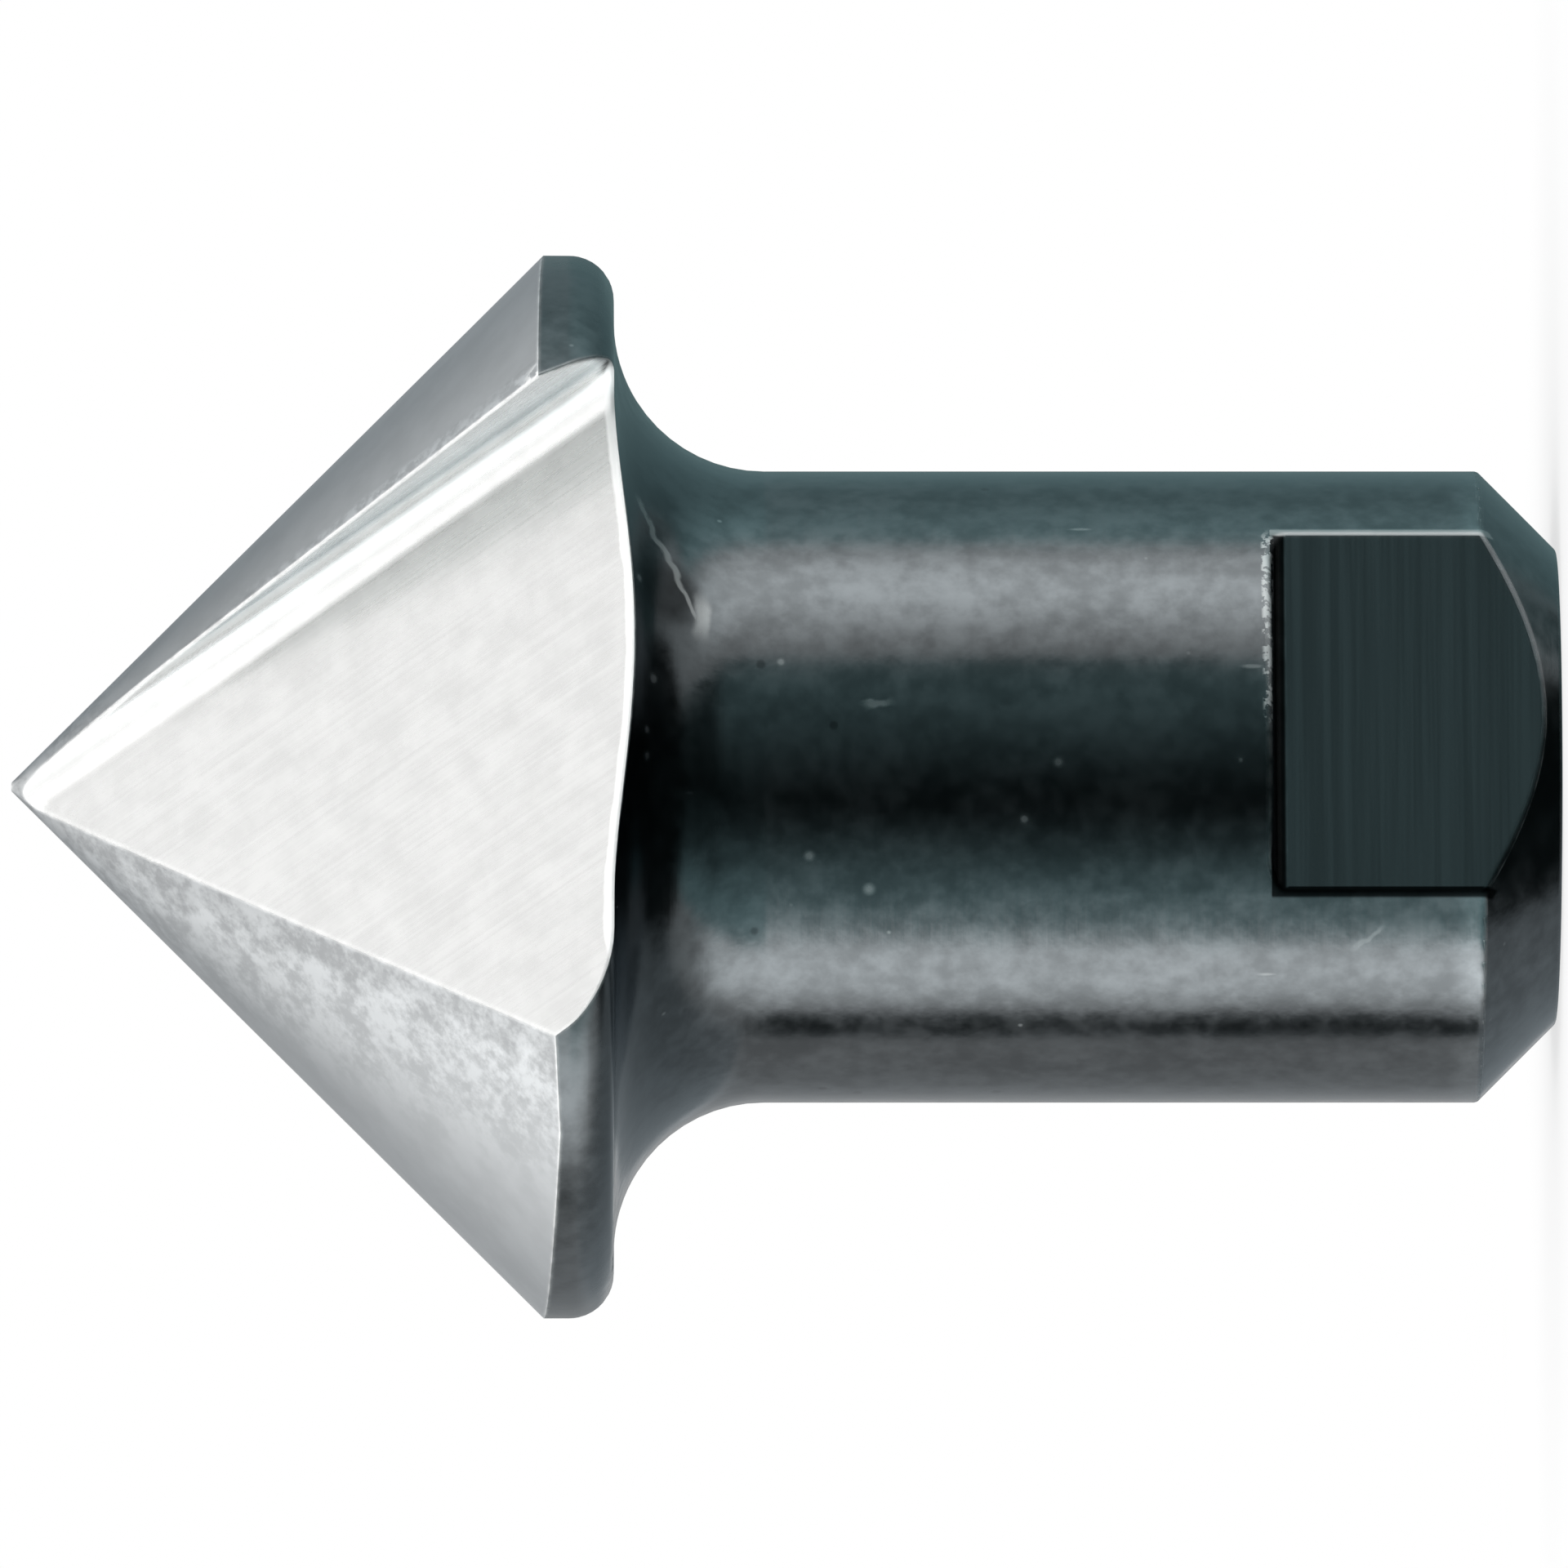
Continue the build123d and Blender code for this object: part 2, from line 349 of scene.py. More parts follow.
def turned_oxide(settings):
    """Black oxide, a thin skin that a hot salt bath leaves on turned steel.

    The skin reflects little, so the shank is dark where it mirrors dark surroundings and only grey in the
    lamps. Tool marks show through it as faint rings, and handling leaves cloudy patches, specks, short
    scratches and pale edges. Painted shade darkens the neck, a patch in it and lines along the clamping flat,
    and painted highlights brighten the flat's +X edge, the chamfer's edge and a streak in the neck.
    """
    material, tree = new_material("black oxide on turned steel")
    point = millimetres(tree)
    rounded, worn_lit_or_shaded = rounded_edges(tree, settings.edge_round, point)

    rings_at = add(
        tree, "ShaderNodeVectorMath", {0: point, 1: (0.3, 0.3, MM / settings.turning_pitch)}, operation="MULTIPLY"
    )
    rings = add(tree, "ShaderNodeTexNoise", {"Vector": rings_at, "Scale": 1.0, "Detail": 3.0, "Roughness": 0.6})
    patch_scale = {"Vector": point, "Scale": MM / settings.patch_size, "Detail": 3.0, "Roughness": 0.55}
    patches = add(tree, "ShaderNodeTexNoise", patch_scale)
    clouds = add(tree, "ShaderNodeTexNoise", {"Vector": point, "Scale": 0.5, "Detail": 3.0, "Roughness": 0.6})

    specks = scattered_marks(tree, point, (0.42, 0.42, 0.42), 0.025, 0.16)
    scratches = scattered_marks(tree, point, (0.28, 0.28, 1.3), 0.03, 0.22)
    pits = scattered_marks(tree, point, (0.6, 0.6, 0.6), 0.04, 0.22)
    faint = add(tree, "ShaderNodeMath", {0: either(tree, (specks, scratches)), 1: 0.30}, operation="MULTIPLY")

    height = add(tree, "ShaderNodeSeparateXYZ", {"Vector": point}).outputs["Z"]
    painted_shade_line, painted_highlight_line = flat_outline(tree, point, settings)
    marks = either(tree, (faint, single_marks(tree, point, height, settings), painted_highlight_line))

    # Painted shade: the skin is darker in the neck under the head, and darker still round a patch in it
    neck_start, rim = settings.neck_start / MM, settings.head_radius / MM
    above_shank = add(tree, "ShaderNodeMapRange", {0: height, 1: neck_start + 0.2, 2: neck_start + 2.2}, **SMOOTH)
    from_shade = add(tree, "ShaderNodeVectorMath", {0: point, 1: NECK_SHADE}, operation="DISTANCE")
    shaded = add(tree, "ShaderNodeMapRange", {0: from_shade, 1: 1.0, 2: 0.35, 3: 1.0, 4: 0.35}, **SMOOTH)
    radius = from_axis(tree, point)
    inside_rim = add(tree, "ShaderNodeMapRange", {0: radius, 1: rim - 0.05, 2: rim - 0.5}, **SMOOTH)
    neck_painted_shade = add(tree, "ShaderNodeMath", {0: above_shank, 1: inside_rim}, operation="MULTIPLY")
    tones = {"Factor": neck_painted_shade, "A": (*settings.oxide, 1), "B": (*settings.oxide_in_painted_shade, 1)}
    skin = add(tree, "ShaderNodeMix", tones, data_type="RGBA")

    both = add(tree, "ShaderNodeMath", {0: patches, 1: clouds}, operation="ADD")
    tone = add(tree, "ShaderNodeMapRange", {0: both, 1: 0.7, 2: 1.3, 3: 0.78, 4: 1.22}, **SMOOTH)
    # Painted highlight along the chamfer's edge: the tone rises at the edge and falls back above it
    end = settings.chamfer_end / MM
    rising = add(tree, "ShaderNodeMapRange", {0: height, 1: end - 0.02, 2: end + 0.1, 3: 1.0, 4: 1.5}, **SMOOTH)
    falling = add(tree, "ShaderNodeMapRange", {0: height, 1: end + 0.15, 2: end + 0.7, 3: 1.0, 4: 0.67}, **SMOOTH)
    # Painted shade along the flat's step and -X edge: the skin darkens to a tenth there and keeps its edges
    # unrubbed
    lines_and_painted_shade = add(tree, "ShaderNodeMapRange", {0: painted_shade_line, 1: 0.0, 2: 1.0, 3: 1.0, 4: 0.1}, **SMOOTH)
    pitted = add(tree, "ShaderNodeMapRange", {0: pits, 1: 0.0, 2: 1.0, 3: 1.0, 4: 0.6}, **SMOOTH)
    for factor in (pitted, rising, falling, lines_and_painted_shade, shaded):
        tone = add(tree, "ShaderNodeMath", {0: tone, 1: factor}, operation="MULTIPLY")
    clouded_and_painted_light = add(tree, "ShaderNodeVectorMath", {"Vector": skin, "Scale": tone}, operation="SCALE")
    kept = add(tree, "ShaderNodeMapRange", {0: painted_shade_line, 1: 0.0, 2: 0.5, 3: 1.0, 4: 0.0}, **SMOOTH)
    worn_lit_or_shaded = add(tree, "ShaderNodeMath", {0: worn_lit_or_shaded, 1: kept}, operation="MULTIPLY")
    # The rubbed steel colour takes the rubbed edges and marks, and also the painted highlights along the flat's +X
    # edge and in the neck
    bare = add(tree, "ShaderNodeMath", {0: worn_lit_or_shaded, 1: marks}, operation="MAXIMUM")
    bared = {"Factor": bare, "A": clouded_and_painted_light, "B": (*settings.rubbed, 1)}
    colour_out = add(tree, "ShaderNodeMix", bared, data_type="RGBA")

    relief = add(tree, "ShaderNodeMath", {0: rings, 1: 0.35, 2: patches}, operation="MULTIPLY_ADD")
    bump = {"Strength": 1.0, "Distance": 0.003 * MM, "Height": relief, "Normal": rounded}
    bump = add(tree, "ShaderNodeBump", bump)
    # The rim has been ground before it was blackened and is duller than the shank
    smooth = add(tree, "ShaderNodeMapRange", {0: both, 1: 0.7, 2: 1.3, 3: 0.15, 4: 0.22}, **SMOOTH)
    duller = add(tree, "ShaderNodeMapRange", {0: inside_rim, 1: 1.0, 2: 0.0, 4: 0.12}, **SMOOTH)
    roughness = add(tree, "ShaderNodeMath", {0: smooth, 1: duller}, operation="ADD")
    finish(tree, colour_out, roughness, bare, bump)
    return material


def milled_oxide(settings):
    """Black oxide on the clamping flat, which a side mill has cut.

    The flat is even and very dark, with painted shade that darkens it most along its edges, and faint
    straight lines across it where each tooth passed.
    """
    material, tree = new_material("black oxide on milled steel")
    point = millimetres(tree)
    rounded, worn_lit_or_shaded = rounded_edges(tree, settings.edge_round, point)
    lines_at = add(
        tree, "ShaderNodeVectorMath", {0: point, 1: (0.12, 0.12, MM / settings.milling_pitch)}, operation="MULTIPLY"
    )
    lines = add(tree, "ShaderNodeTexNoise", {"Vector": lines_at, "Scale": 1.0, "Detail": 2.0, "Roughness": 0.6})
    specks = scattered_marks(tree, point, (0.4, 0.4, 0.4), 0.03, 0.15)
    marks = add(tree, "ShaderNodeMath", {0: specks, 1: 0.3}, operation="MULTIPLY")
    level = add(tree, "ShaderNodeMapRange", {0: lines, 1: 0.3, 2: 0.7, 3: 0.74, 4: 0.98}, **SMOOTH)
    painted_shade_line, painted_highlight_line = flat_outline(tree, point, settings)
    # Painted shade: the flat darkens to a tenth along its edges, its step and its -X edge
    outline = either(tree, (worn_lit_or_shaded, painted_shade_line))
    outline = add(tree, "ShaderNodeMapRange", {0: outline, 1: 0.0, 2: 0.6, 3: 1.0, 4: 0.1}, **SMOOTH)
    level = add(tree, "ShaderNodeMath", {0: level, 1: outline}, operation="MULTIPLY")
    lines_and_painted_shade = add(tree, "ShaderNodeVectorMath", {0: settings.oxide[:], "Scale": level}, operation="SCALE")
    bared = {"Factor": marks, "A": lines_and_painted_shade, "B": (*settings.rubbed, 1)}
    colour_out = add(tree, "ShaderNodeMix", bared, data_type="RGBA")
    bump = {"Strength": 1.0, "Distance": 0.0015 * MM, "Height": lines, "Normal": rounded}
    bump = add(tree, "ShaderNodeBump", bump)
    finish(tree, colour_out, 0.2, marks, bump)
    return material


def ground_flute(settings):
    """High-speed steel, ground along the flute by a fine wheel.

    It is the brightest surface. The wheel leaves long straight streaks along the flute, which spread the
    reflection a little and leave it faintly cloudy. Painted highlights brighten its edges, its rounded root and
    the edge where it breaks out into the neck.
    """
    material, tree = new_material("ground high-speed steel flute")
    point = millimetres(tree)
    rounded, worn_lit_or_shaded = rounded_edges(tree, settings.ground_edge, point)

    # Both flutes share one pattern: the far half of the tool is turned by half a turn about its axis
    heading, lean = settings.flute_heading, settings.flute_lean
    outward = Vector((cos(heading), sin(heading), 0))
    side = add(tree, "ShaderNodeVectorMath", {0: point, 1: outward}, operation="DOT_PRODUCT")
    sign = add(tree, "ShaderNodeMath", {0: side}, operation="SIGN")
    flip = add(tree, "ShaderNodeCombineXYZ", {"X": sign, "Y": sign, "Z": 1.0})
    turned = add(tree, "ShaderNodeVectorMath", {0: point, 1: flip}, operation="MULTIPLY")
    run = outward * sin(lean) - Vector((0, 0, cos(lean)))
    rise = outward * cos(lean) + Vector((0, 0, sin(lean)))
    sideways = run.cross(rise)
    along = add(tree, "ShaderNodeVectorMath", {0: turned, 1: run * 0.15}, operation="DOT_PRODUCT")
    thin = MM / settings.streak_pitch
    over = add(tree, "ShaderNodeVectorMath", {0: turned, 1: rise * thin}, operation="DOT_PRODUCT")
    aside = add(tree, "ShaderNodeVectorMath", {0: turned, 1: sideways * thin}, operation="DOT_PRODUCT")
    streaks_at = add(tree, "ShaderNodeCombineXYZ", {"X": along, "Y": over, "Z": aside})
    streaks = add(tree, "ShaderNodeTexNoise", {"Vector": streaks_at, "Scale": 1.0, "Detail": 3.0, "Roughness": 0.6})
    clouds = add(tree, "ShaderNodeTexNoise", {"Vector": point, "Scale": 1.2, "Detail": 4.0, "Roughness": 0.6})

    # Painted highlight along the edge where the flute breaks out into the neck, at most 0.2 mm wide
    split = add(tree, "ShaderNodeSeparateXYZ", {"Vector": point})
    radius = from_axis(tree, point)
    profile = add(tree, "ShaderNodeCombineXYZ", {"X": radius, "Y": split.outputs["Z"]})
    centre = (settings.neck_centre / MM, settings.neck_start / MM, 0)
    from_neck = add(tree, "ShaderNodeVectorMath", {0: profile, 1: centre}, operation="DISTANCE")
    ragged = add(tree, "ShaderNodeTexNoise", {"Vector": point, "Scale": 1.5, "Detail": 3.0})
    from_neck = add(tree, "ShaderNodeMath", {0: ragged, 1: 0.12, 2: from_neck}, operation="MULTIPLY_ADD")
    neck_edge = settings.neck_radius / MM + 0.06
    painted_lip_highlight = add(tree, "ShaderNodeMapRange", {0: from_neck, 1: neck_edge + 0.22, 2: neck_edge + 0.15}, **SMOOTH)
    worn_lit_or_shaded = either(tree, (worn_lit_or_shaded, painted_lip_highlight))

    # Painted highlight on the rounded root, which lies next to the line from the apex along the run
    apex = Vector((0, 0, (cad_box[1].z + settings.tip_flat / 2) / MM))
    from_apex = add(tree, "ShaderNodeVectorMath", {0: turned, 1: apex}, operation="SUBTRACT")
    off_line = add(tree, "ShaderNodeVectorMath", {0: from_apex, 1: run}, operation="CROSS_PRODUCT")
    off_line = add(tree, "ShaderNodeVectorMath", {"Vector": off_line}, operation="LENGTH")
    painted_root_highlight = add(tree, "ShaderNodeMapRange", {0: off_line, 1: 0.8, 2: 0.6, 3: 1.0, 4: 1.22}, **SMOOTH)

    tone = add(tree, "ShaderNodeMath", {0: streaks, 1: clouds}, operation="ADD")
    level = add(tree, "ShaderNodeMapRange", {0: tone, 1: 0.7, 2: 1.3, 3: 0.92, 4: 1.06}, **SMOOTH)
    level = add(tree, "ShaderNodeMath", {0: level, 1: painted_root_highlight}, operation="MULTIPLY")
    streaked_and_highlit = add(tree, "ShaderNodeVectorMath", {0: settings.flute[:], "Scale": level}, operation="SCALE")
    # Painted highlight: the edges and the edge into the neck take the bright edge colour
    bright = {"Factor": worn_lit_or_shaded, "A": streaked_and_highlit, "B": (*settings.edge_highlight_and_wear, 1)}
    colour_out = add(tree, "ShaderNodeMix", bright, data_type="RGBA")
    bump = {"Strength": 1.0, "Distance": 0.0012 * MM, "Height": streaks, "Normal": rounded}
    bump = add(tree, "ShaderNodeBump", bump)
    roughness = add(tree, "ShaderNodeMapRange", {0: streaks, 1: 0.3, 2: 0.7, 3: 0.24, 4: 0.34}, **SMOOTH)
    finish(tree, colour_out, roughness, worn_lit_or_shaded, bump)
    return material


def ground_cone(settings, floors, walls, corners):
    """High-speed steel, relief-ground round the cone behind each cutting edge.

    It is greyer than the flutes and satin, lighter towards the rim, and finely mottled where the relief ends
    beside each flute's floor, with a duller band along the edge itself. A narrow mottled land follows each
    cutting edge, the cutting corners are rubbed bright, and a highlight is painted along the edges.
    """
    material, tree = new_material("relief-ground high-speed steel")
    point = millimetres(tree)
    rounded, worn_lit_or_shaded = rounded_edges(tree, settings.edge_round, point)
    grain = add(tree, "ShaderNodeTexNoise", {"Vector": point, "Scale": 4.0, "Detail": 4.0, "Roughness": 0.65})
    clouds = add(tree, "ShaderNodeTexNoise", {"Vector": point, "Scale": 1.1, "Detail": 3.0, "Roughness": 0.55})

    from_floor = beside(tree, point, floors)
    from_floor = add(tree, "ShaderNodeMath", {0: clouds, 1: 1.6, 2: from_floor}, operation="MULTIPLY_ADD")
    mottled = add(tree, "ShaderNodeMapRange", {0: from_floor, 1: 4.2, 2: 1.4}, **SMOOTH)
    band = settings.heel_band / MM
    dull = {0: from_floor, 1: band + 1.0, 2: band + 0.5, 3: 1.0, 4: 0.84}
    dull = add(tree, "ShaderNodeMapRange", dull, **SMOOTH)
    from_wall = beside(tree, point, walls)
    from_wall = add(tree, "ShaderNodeMath", {0: clouds, 1: 0.5, 2: from_wall}, operation="MULTIPLY_ADD")
    land = add(tree, "ShaderNodeMapRange", {0: from_wall, 1: 0.65, 2: 0.35}, **SMOOTH)
    radius = from_axis(tree, point)
    outer = add(tree, "ShaderNodeMapRange", {0: radius, 1: 3.0, 2: 7.0}, **SMOOTH)
    land = add(tree, "ShaderNodeMath", {0: land, 1: outer}, operation="MULTIPLY")

    satin = add(tree, "ShaderNodeMapRange", {0: clouds, 1: 0.3, 2: 0.7, 3: 0.95, 4: 1.05}, **SMOOTH)
    patchy = add(tree, "ShaderNodeMath", {0: clouds, 1: 0.9, 2: grain}, operation="MULTIPLY_ADD")
    mottle = add(tree, "ShaderNodeMapRange", {0: patchy, 1: 0.75, 2: 1.15, 3: 0.84, 4: 1.24}, **SMOOTH)
    texture = add(tree, "ShaderNodeMix", {"Factor": mottled, "A": satin, "B": mottle}, data_type="FLOAT")
    bright_mottle = add(tree, "ShaderNodeMapRange", {0: grain, 1: 0.38, 2: 0.62, 3: 1.0, 4: 1.4}, **SMOOTH)
    texture = add(tree, "ShaderNodeMix", {"Factor": land, "A": texture, "B": bright_mottle}, data_type="FLOAT")

    level = add(tree, "ShaderNodeMapRange", {0: radius, 1: 3.0, 2: 10.0, 3: 0.9, 4: 1.1}, **SMOOTH)
    for factor in (dull, texture):
        level = add(tree, "ShaderNodeMath", {0: level, 1: factor}, operation="MULTIPLY")
    ground = add(tree, "ShaderNodeVectorMath", {0: settings.cone[:], "Scale": level}, operation="SCALE")
    # Painted highlight along the edges, and rubbed flakes round the cutting corners, take the bright edge colour
    rubbed = either(tree, (worn_lit_or_shaded, speckled_near(tree, point, corners, 0.6, 5.0)))
    bright = {"Factor": rubbed, "A": ground, "B": (*settings.edge_highlight_and_wear, 1)}
    colour_out = add(tree, "ShaderNodeMix", bright, data_type="RGBA")
    bump = {"Strength": 1.0, "Distance": 0.0015 * MM, "Height": grain, "Normal": rounded}
    bump = add(tree, "ShaderNodeBump", bump)
    finish(tree, colour_out, 0.3, rubbed, bump)
    return material


class COUNTERSINK_OT_surfaces(bpy.types.Operator):
    """Sorts the tool's faces by how they were made and gives each kind its finish"""

    bl_idname = "countersink.surfaces"
    bl_label = "Finish the surfaces"

    def execute(self, context):
        settings = context.scene.countersink_finish
        mesh = frame["nodes"][NODE].data
        mesh.materials.clear()
        turned, milled, fluted, coned = range(4)

        # Every ground face, and no other, is part of a plane or cone that passes close to the point's apex.
        # The faces of a flute are also parallel to its run.
        apex = Vector((0, 0, cad_box[1].z + settings.tip_flat / 2))
        apex_miss, parallel = 0.35 * MM, 0.02
        lean = settings.flute_lean
        runs, rises = [], []
        for turn in (settings.flute_heading, settings.flute_heading + pi):
            outward = Vector((cos(turn), sin(turn), 0))
            runs.append(outward * sin(lean) - Vector((0, 0, cos(lean))))
            rises.append(outward * cos(lean) + Vector((0, 0, sin(lean))))
        flat_place = mounts["clamping_flat"]["pos_m"][1]
        largest = {}
        for face in mesh.polygons:
            corners = [mesh.corner_normals[k].vector for k in face.loop_indices]
            normal = sum(corners, Vector()).normalized()
            if abs(normal.dot(face.center - apex)) < apex_miss:
                flute = min((0, 1), key=lambda i: abs(normal.dot(runs[i])))
                along_run = abs(normal.dot(runs[flute])) < parallel
                face.material_index = fluted if along_run else coned
                # The largest face of each flute that looks outwards is its floor, and the other is its wall
                kind = (flute, normal.dot(rises[flute]) > 0)
                if along_run and (kind not in largest or face.area > largest[kind].area):
                    largest[kind] = face
            elif normal.y < -0.999 and abs(face.center.y - flat_place) < 0.02 * MM:
                face.material_index = milled
            else:
                face.material_index = turned

        sides = {True: [], False: []}
        for (flute, is_floor), face in largest.items():
            away = face.center - apex
            away = (away - away.dot(runs[flute]) * runs[flute]).normalized()
            offset = face.normal.dot(face.center) / MM
            sides[is_floor].append((face.normal.copy(), offset, away, away.dot(apex) / MM))
        # The cutting corners lie where the cutting walls meet the widest part of the cone
        bearing = settings.corner_bearing
        across, height = settings.head_radius / MM, cad_box[1].z / MM - settings.head_radius / MM
        places = [(side * across * cos(bearing), side * across * sin(bearing), height) for side in (1, -1)]

        for material in (
            turned_oxide(settings),
            milled_oxide(settings),
            ground_flute(settings),
            ground_cone(settings, sides[True], sides[False], places),
        ):
            mesh.materials.append(material)
        return {"FINISHED"}


def lamp_cloth(name, tint, levels, soft):
    """A card or the cloth of a lamp: its brightness at its left end, middle and right end, and the shares of its
    width and height over which it fades out, given as left, right, bottom and top."""
    material, tree = new_material(name)
    place = add(tree, "ShaderNodeTexCoord").outputs["UV"]
    split = add(tree, "ShaderNodeSeparateXYZ", {"Vector": place})
    share, (left, middle, right) = split.outputs["X"], levels
    left_half = add(tree, "ShaderNodeMapRange", {0: share, 1: 0.0, 2: 0.5, 3: left, 4: middle}, **SMOOTH)
    change = add(tree, "ShaderNodeMapRange", {0: share, 1: 0.5, 2: 1.0, 4: right - middle}, **SMOOTH)
    strength = add(tree, "ShaderNodeMath", {0: left_half, 1: change}, operation="ADD")
    shown = 1.0
    edges = ((0, soft[0], "X"), (1, -soft[1], "X"), (0, soft[2], "Y"), (1, -soft[3], "Y"))
    for start, width, axis in edges:
        if width:
            inside = add(tree, "ShaderNodeMapRange", {0: split.outputs[axis], 1: start, 2: start + width}, **SMOOTH)
            shown = add(tree, "ShaderNodeMath", {0: shown, 1: inside}, operation="MULTIPLY")
    light = add(tree, "ShaderNodeEmission", {"Color": (*tint, 1), "Strength": strength})
    clear = add(tree, "ShaderNodeBsdfTransparent")
    shader = add(tree, "ShaderNodeMixShader", {0: shown, 1: clear, 2: light})
    add(tree, "ShaderNodeOutputMaterial", {"Surface": shader})
    material.cycles.emission_sampling = "NONE"
    return material


def studio_card(name, bearings, bottom, tops, distance, material, facing):
    """A curved card round the tool, between two bearings from the camera's side. It lights the tool and shows in
    its reflections, and the camera looks through it. Its top is given at the left end, middle and right end."""
    across, up = 32, 12
    points, places = [], []
    for j in range(up + 1):
        for i in range(across + 1):
            share = i / across
            bearing = radians(bearings[0] + (bearings[1] - bearings[0]) * share)
            low, high, part = (tops[0], tops[1], 2 * share) if share < 0.5 else (tops[1], tops[2], 2 * share - 1)
            top = low + (high - low) * part
            elevation = radians(bottom + (top - bottom) * j / up)
            level = facing["toward"] * cos(bearing) + facing["aside"] * sin(bearing)
            points.append((level * cos(elevation) + Vector((0, 0, sin(elevation)))) * distance)
            places.append((share, j / up))
    row = across + 1
    faces = [(k, k + 1, k + 1 + row, k + row) for j in range(up) for k in range(j * row, j * row + across)]
    mesh = bpy.data.meshes.new(name)
    mesh.from_pydata(points, [], faces)
    layer = mesh.uv_layers.new(name="UVMap")
    for loop in mesh.loops:
        layer.data[loop.index].uv = places[loop.vertex_index]
    mesh.materials.append(material)
    card = bpy.data.objects.new(name, mesh)
    bpy.context.collection.objects.link(card)
    card.visible_camera = False
    card.visible_shadow = False


def white_rays(tree):
    """1 for the rays that see the background: the camera's, and those that metal or glass sends on."""
    path = add(tree, "ShaderNodeLightPath").outputs
    seen = add(tree, "ShaderNodeMath", {0: path["Is Camera Ray"], 1: path["Is Glossy Ray"]}, operation="MAXIMUM")
    return add(tree, "ShaderNodeMath", {0: seen, 1: path["Is Transmission Ray"]}, operation="MAXIMUM")


def pale_floor(settings):
    """Pale seamless card. Close to the tool it is lit and shaded, further out it is the background's own white,
    and its rim fades away."""
    material, tree = new_material("pale seamless card")
    place = add(tree, "ShaderNodeTexCoord").outputs["Object"]
    reach = add(tree, "ShaderNodeVectorMath", {"Vector": place}, operation="LENGTH")
    lit = add(tree, "ShaderNodeBsdfDiffuse", {"Color": (*settings.floor, 1)})
    white = add(tree, "ShaderNodeEmission", {"Strength": 1.0})
    outer = add(tree, "ShaderNodeMapRange", {0: reach, 1: 0.0, 2: 0.30 * settings.floor_radius, 3: 0.65}, **SMOOTH)
    whiten = add(tree, "ShaderNodeMath", {0: outer, 1: white_rays(tree)}, operation="MULTIPLY")
    near = add(tree, "ShaderNodeMixShader", {0: whiten, 1: lit, 2: white})
    rim = {0: reach, 1: 0.60 * settings.floor_radius, 2: 0.97 * settings.floor_radius}
    rim = add(tree, "ShaderNodeMapRange", rim, **SMOOTH)
    clear = add(tree, "ShaderNodeBsdfTransparent")
    shader = add(tree, "ShaderNodeMixShader", {0: rim, 1: near, 2: clear})
    add(tree, "ShaderNodeOutputMaterial", {"Surface": shader})
    material.cycles.emission_sampling = "NONE"
    return material


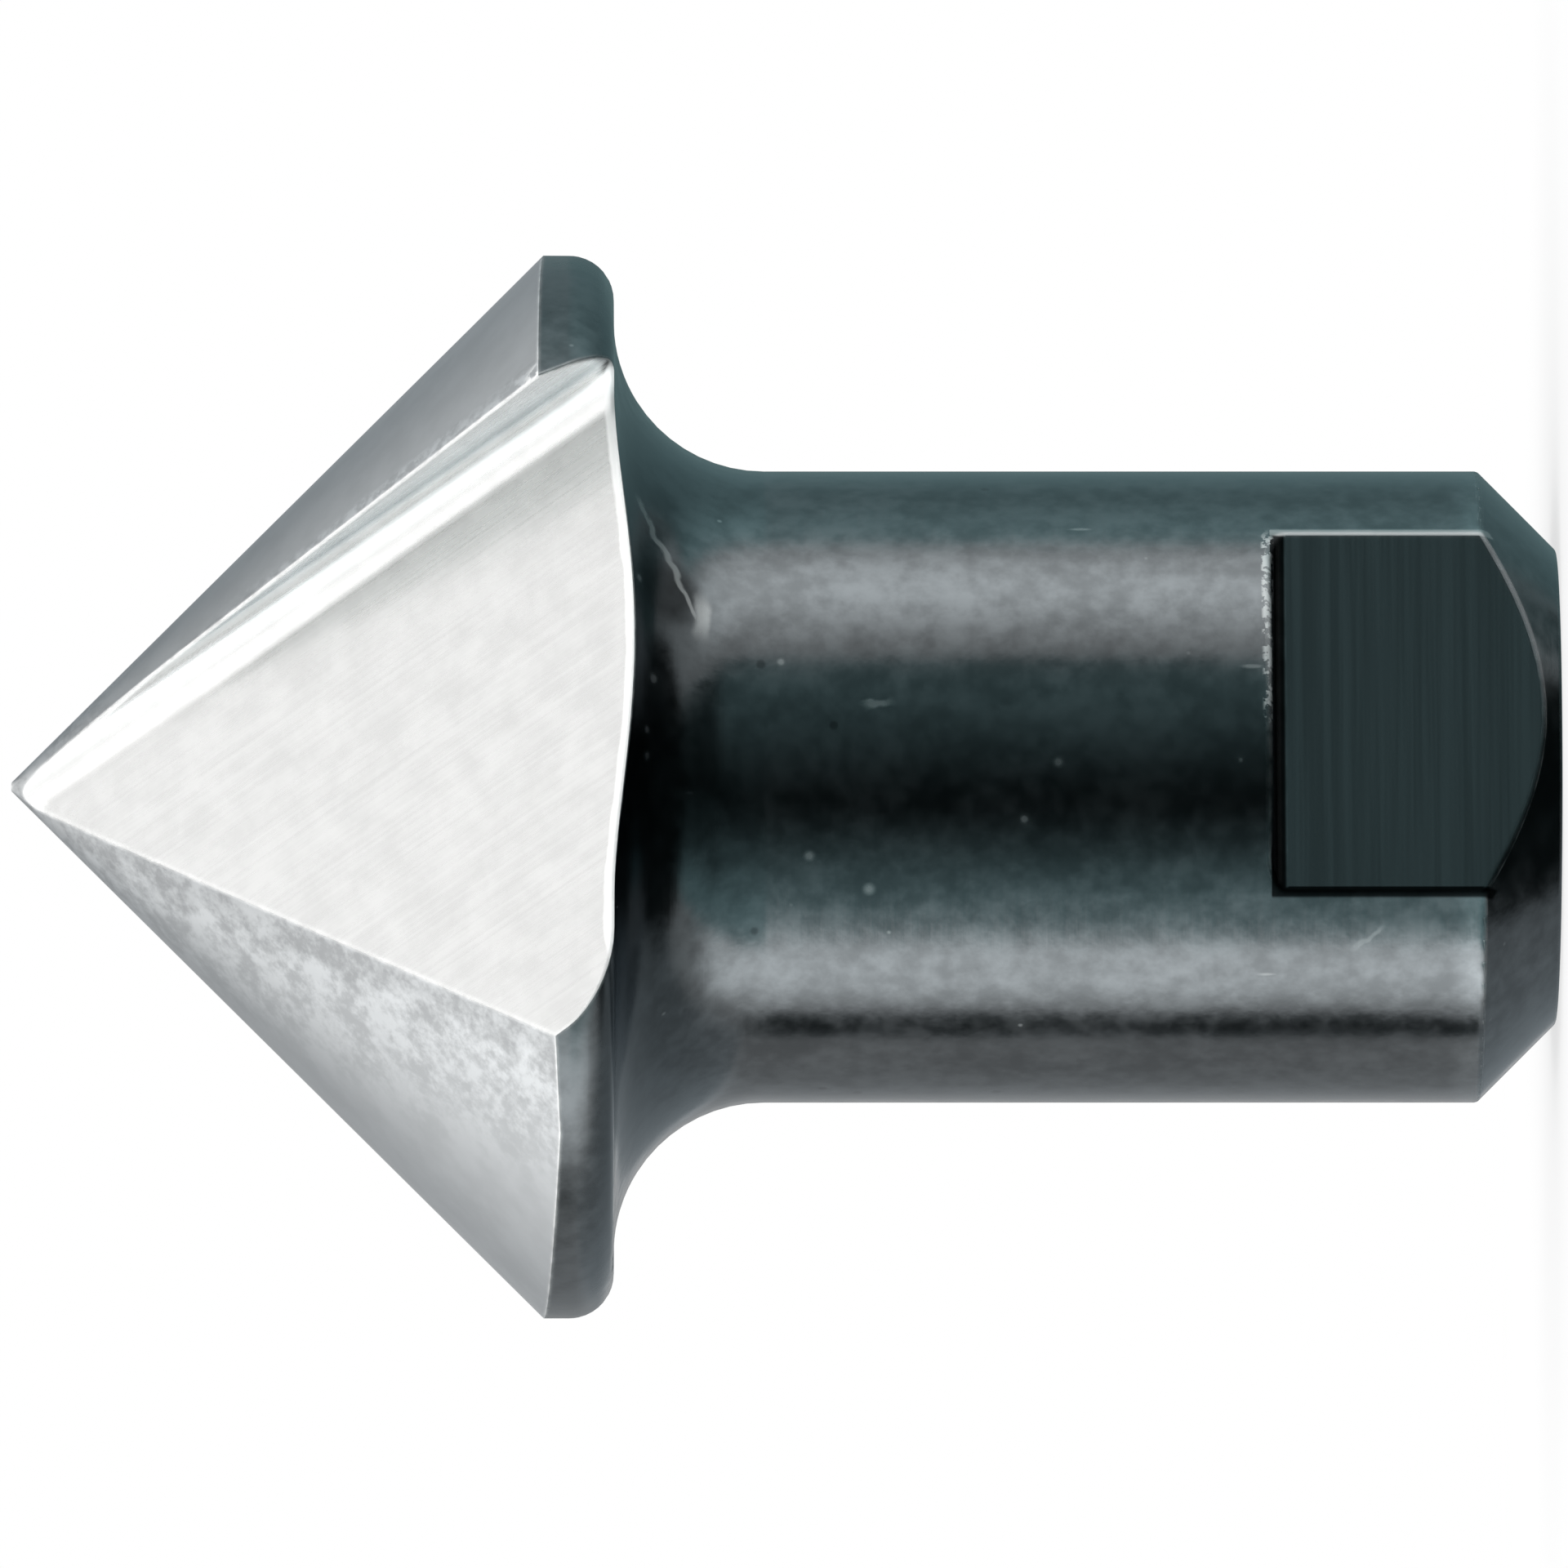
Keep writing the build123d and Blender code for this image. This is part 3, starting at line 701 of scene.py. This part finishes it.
class COUNTERSINK_OT_stage(bpy.types.Operator):
    """Sets up the pale floor, the white background, the soft lamps, the dark cards and the camera"""

    bl_idname = "countersink.stage"
    bl_label = "Set up the stage"

    def execute(self, context):
        scene = context.scene
        settings = scene.countersink_stage
        azimuth = settings.view_azimuth
        facing = {
            "toward": Vector((sin(azimuth), -cos(azimuth), 0)),
            "aside": Vector((cos(azimuth), sin(azimuth), 0)),
        }
        self.floor(context, settings)
        self.world(scene, settings)
        self.lamps(settings, facing)
        self.camera(context, settings, facing)
        scene.view_settings.view_transform = "Standard"
        return {"FINISHED"}

    def floor(self, context, settings):
        """Round pale floor that the tool stands on. The tool mirrors the cards under it instead of the floor."""
        sides = 96
        turns = [2 * pi * k / sides for k in range(sides)]
        points = [(settings.floor_radius * cos(t), settings.floor_radius * sin(t), 0) for t in turns]
        mesh = bpy.data.meshes.new("floor")
        mesh.from_pydata(points, [], [tuple(range(sides))])
        mesh.materials.append(pale_floor(settings))
        floor = bpy.data.objects.new("floor", mesh)
        context.collection.objects.link(floor)
        floor.visible_glossy = False

    def world(self, scene, settings):
        """White background, and a weaker light of the same kind on dull surfaces."""
        world = bpy.data.worlds.new("white studio")
        world.use_nodes = True
        world.cycles.sampling_method = "NONE"
        tree = world.node_tree
        tree.nodes.clear()
        white = white_rays(tree)
        strength = add(tree, "ShaderNodeMapRange", {0: white, 1: 0.0, 2: 1.0, 3: settings.soft_fill}, **SMOOTH)
        background = add(tree, "ShaderNodeBackground", {"Color": (1, 1, 1, 1), "Strength": strength})
        add(tree, "ShaderNodeOutputWorld", {"Surface": background})
        scene.world = world

    def lamps(self, settings, facing):
        """Soft lamps, and the dark cards that give the black shank its dark middle and sides.

        Bearings are in degrees from the camera's side, positive to the top of the picture.
        """
        white, dark, grey = (1, 1, 1), settings.dark, settings.grey
        top, front = settings.overhead, settings.front
        flank, far, dim = settings.flank, settings.far_flank, settings.dim
        # name, colour, bearings, bottom, tops, distance, brightness at three places, soft edges
        cards = (
            ("dark_card", dark, (-60, 48), -90, (2, 26, 34), 0.80, (0.90, dim, 0.40), (0, 0, 0, 0.08)),
            ("dark_foot", dark, (-42, 46), -90, (-26, -26, -26), 0.795, (0.25, dim, 0.12), (0.1, 0, 0, 0.2)),
            ("dark_disc", dark, (-180, 180), -90, (-60, -60, -60), 0.79, (dim, dim, dim), (0, 0, 0, 0.2)),
            ("flank_lamp", white, (51, 105), -48, (48, 48, 48), 0.85, (flank, flank, flank), (0.5, 0.5, 0.2, 0.2)),
            ("far_flank_lamp", white, (-92, -39), -48, (48, 48, 48), 0.85, (far, far, far), (0.3, 0.5, 0.2, 0.2)),
            ("dark_edge", dark, (-105, -91), -19, (15, 15, 15), 0.84, (0.15, dim, 0.10), (0.2, 0, 0.5, 0.12)),
            ("front_lamp", white, (-64, 60), 0, (66, 66, 66), 0.90, (1.1, front, front), (0.1, 0.2, 0.1, 0.2)),
            ("overhead_lamp", white, (-180, 180), 46, (90, 90, 90), 1.00, (top, top, top), (0, 0, 0.3, 0)),
            ("overhead_back", white, (-181, -92), 14, (80, 80, 80), 0.90, (1.5, 1.65, 1.8), (0, 0.2, 0.75, 0.1)),
            ("overhead_side", white, (104, 181), 14, (77, 77, 77), 0.90, (1.2, 1.2, 1.2), (0.1, 0, 0.8, 0.1)),
            ("side_card_foot", dark, (119, 181), -82, (-38, -38, -38), 0.91, (0.30, 0.15, 0.15), (0.12, 0, 0, 0.2)),
            ("side_card_low", dark, (95, 181), -46, (3, 3, 3), 0.92, (1.10, 0.40, 0.22), (0.1, 0, 0.15, 0.03)),
            ("side_card_high", grey, (95, 181), 1, (60, 60, 60), 0.93, (0.70, 0.40, 0.38), (0.1, 0, 0.05, 0.2)),
            ("far_side_card", white, (-181, -99), -11, (60, 60, 60), 0.95, (0.50, 0.52, 0.72), (0, 0.1, 0.05, 0.2)),
            ("far_side_low", grey, (-181, -92), -75, (-9, -9, -9), 0.93, (0.36, 0.56, 0.60), (0, 0.1, 0, 0.05)),
        )
        for name, tint, bearings, bottom, tops, distance, levels, soft in cards:
            cloth = lamp_cloth(name, tint, levels, soft)
            studio_card(name, bearings, bottom, tops, distance, cloth, facing)

    def camera(self, context, settings, facing):
        """Camera at the photograph's angle, rolled so that the point is at the left."""
        data = bpy.data.cameras.new("camera")
        data.lens = data.sensor_width * settings.camera_distance / settings.frame_width
        data.clip_start = 0.01
        data.clip_end = 10
        camera = bpy.data.objects.new("camera", data)
        context.collection.objects.link(camera)
        eye = facing["toward"] * settings.camera_distance + Vector((0, 0, settings.camera_height))
        aim = facing["aside"] * settings.aim_side + Vector((0, 0, settings.aim_height))
        back = (eye - aim).normalized()
        down = Vector((0, 0, -1))
        right = (down - down.dot(back) * back).normalized()
        top = back.cross(right)
        axes = Matrix((right, top, back)).transposed()
        camera.matrix_world = Matrix.Translation(eye) @ axes.to_4x4()
        context.scene.camera = camera


class COUNTERSINK_PT_sidebar(bpy.types.Panel):
    """Steps and sizes of the countersink's looks"""

    bl_label = "Countersink"
    bl_space_type = "VIEW_3D"
    bl_region_type = "UI"
    bl_category = "Countersink"

    def draw(self, context):
        steps = (
            (COUNTERSINK_OT_surfaces, context.scene.countersink_finish),
            (COUNTERSINK_OT_stage, context.scene.countersink_stage),
        )
        for operator, settings in steps:
            box = self.layout.box()
            box.operator(operator.bl_idname)
            for name in settings.bl_rna.properties.keys():
                if name not in ("rna_type", "name"):
                    box.prop(settings, name)


CLASSES = (FinishSettings, StageSettings, COUNTERSINK_OT_surfaces, COUNTERSINK_OT_stage, COUNTERSINK_PT_sidebar)


def register():
    for cls in CLASSES:
        bpy.utils.register_class(cls)
    bpy.types.Scene.countersink_finish = PointerProperty(type=FinishSettings)
    bpy.types.Scene.countersink_stage = PointerProperty(type=StageSettings)


def unregister():
    del bpy.types.Scene.countersink_stage
    del bpy.types.Scene.countersink_finish
    for cls in reversed(CLASSES):
        bpy.utils.unregister_class(cls)


def main():
    register()
    bpy.ops.countersink.surfaces()
    bpy.ops.countersink.stage()


if __name__ == "__main__":
    main()
